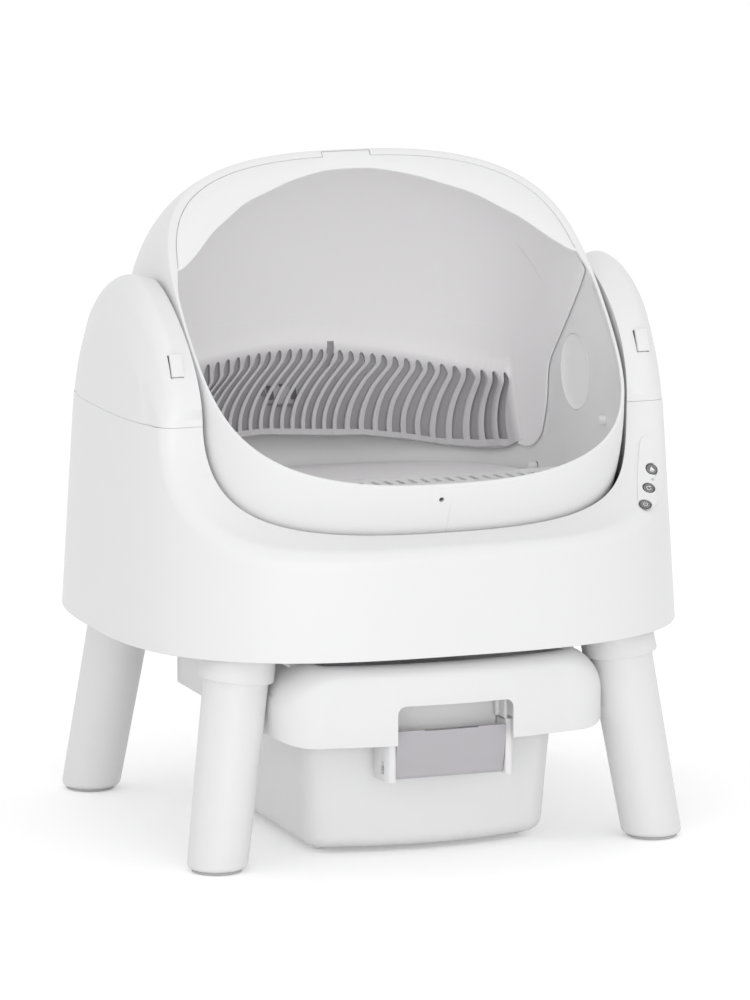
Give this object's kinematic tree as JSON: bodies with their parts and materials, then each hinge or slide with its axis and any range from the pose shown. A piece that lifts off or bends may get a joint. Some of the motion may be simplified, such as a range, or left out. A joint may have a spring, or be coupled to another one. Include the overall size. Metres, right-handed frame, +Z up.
{
  "type": "self cleaning litter box",
  "caption": "Round tub on four splayed legs with an open turning drum, a wavy visor, a ribbed sieve and a sliding waste drawer.",
  "frame": {"origin": "floor level under the middle of the tub's outline", "axes": "+Z up, +X to the viewer's right, the front with the drawer faces -Y"},
  "size_m": [0.5584, 0.5096, 0.6345],
  "materials": {
    "white_shell": "satin moulded plastic",
    "warm_white": "satin moulded plastic",
    "inner_grey": "pale grey moulded plastic",
    "rib_grey": "grey moulded plastic",
    "dark_grey": "dark moulded plastic",
    "foot_rubber": "soft foot",
    "paddle_grey": "grey moulded plastic",
    "steel": "plain steel",
    "board_green": "circuit board",
    "lens": "clear indicator lens"
  },
  "bodies": {
    "stand": {"base_shell": "white_shell", "inner_cradle": "white_shell", "base_pan": "white_shell", "ear_cap_left": "white_shell", "ear_cap_right": "white_shell", "pivot_block_left": "dark_grey", "pivot_block_right": "dark_grey", "leg_front_left": "warm_white", "leg_front_right": "warm_white", "leg_back_left": "warm_white", "leg_back_right": "warm_white", "leg_socket_front_left": "warm_white", "leg_socket_front_right": "warm_white", "leg_socket_back_left": "warm_white", "leg_socket_back_right": "warm_white", "foot_pad_front_left": "foot_rubber", "foot_pad_front_right": "foot_rubber", "foot_pad_back_left": "foot_rubber", "foot_pad_back_right": "foot_rubber", "control_panel": "white_shell", "control_board": "board_green", "led_lens": "lens", "motor_bracket": "steel", "drive_motor": "steel", "power_inlet": "dark_grey", "drawer_rail_left": "steel", "drawer_rail_right": "steel"},
    "drum": {"drum_shell": "white_shell", "trunnion_left": "white_shell", "trunnion_right": "white_shell", "drum_gear": "dark_grey", "back_liner": "inner_grey", "drum_floor": "inner_grey", "front_grille": "white_shell", "sieve": "rib_grey", "visor": "warm_white", "peg_front": "white_shell", "peg_back": "white_shell"},
    "pinion": {"drive_pinion": "steel"},
    "drawer": {"drawer_hood": "white_shell", "waste_bin": "warm_white", "bin_glide_left": "warm_white", "bin_glide_right": "warm_white", "latch_bracket": "white_shell", "latch_pin": "steel", "bin_ledge_left": "white_shell", "bin_ledge_right": "white_shell", "runner_left": "steel", "runner_right": "steel"},
    "latch": {"bin_latch": "paddle_grey"},
    "button_top": {"control_button_1": "dark_grey"},
    "button_middle": {"control_button_2": "dark_grey"},
    "button_low": {"control_button_3": "dark_grey"},
    "tab_left": {"ear_tab_left": "white_shell"},
    "tab_right": {"ear_tab_right": "white_shell"}
  },
  "joints": [
    {"name": "drum_spin", "type": "hinge", "parent": "stand", "child": "drum", "pos_m": [0, -0.008, 0.418], "axis": [-1, 0, 0], "range_deg": [-30, 215]},
    {"name": "pinion_spin", "type": "hinge", "parent": "stand", "child": "pinion", "pos_m": [0, -0.008, 0.3577], "axis": [-1, 0, 0], "range_deg": [-862, 122]},
    {"name": "drawer_slide", "type": "slide", "parent": "stand", "child": "drawer", "axis": [0, -1, 0], "range_m": [0, 0.26]},
    {"name": "latch_hinge", "type": "hinge", "parent": "drawer", "child": "latch", "pos_m": [0, -0.2175, 0.0905], "axis": [1, 0, 0], "range_deg": [0, 30], "stiffness_Nm_per_rad": 0.05},
    {"name": "button_top_press", "type": "slide", "parent": "stand", "child": "button_top", "axis": [0, 0.7903, -0.6127], "range_m": [0, 0.001], "stiffness_N_per_m": 400},
    {"name": "button_middle_press", "type": "slide", "parent": "stand", "child": "button_middle", "axis": [0, 0.6624, -0.7491], "range_m": [0, 0.001], "stiffness_N_per_m": 400},
    {"name": "button_low_press", "type": "slide", "parent": "stand", "child": "button_low", "axis": [0, 0.5224, -0.8527], "range_m": [0, 0.001], "stiffness_N_per_m": 400},
    {"name": "tab_left_press", "type": "slide", "parent": "stand", "child": "tab_left", "axis": [0, 0.9088, -0.4173], "range_m": [0, 0.002], "stiffness_N_per_m": 400},
    {"name": "tab_right_press", "type": "slide", "parent": "stand", "child": "tab_right", "axis": [0, 0.9088, -0.4173], "range_m": [0, 0.002], "stiffness_N_per_m": 400}
  ],
  "couplings": [
    {"joint": "pinion_spin", "follows": "drum_spin", "ratio": -4}
  ]
}
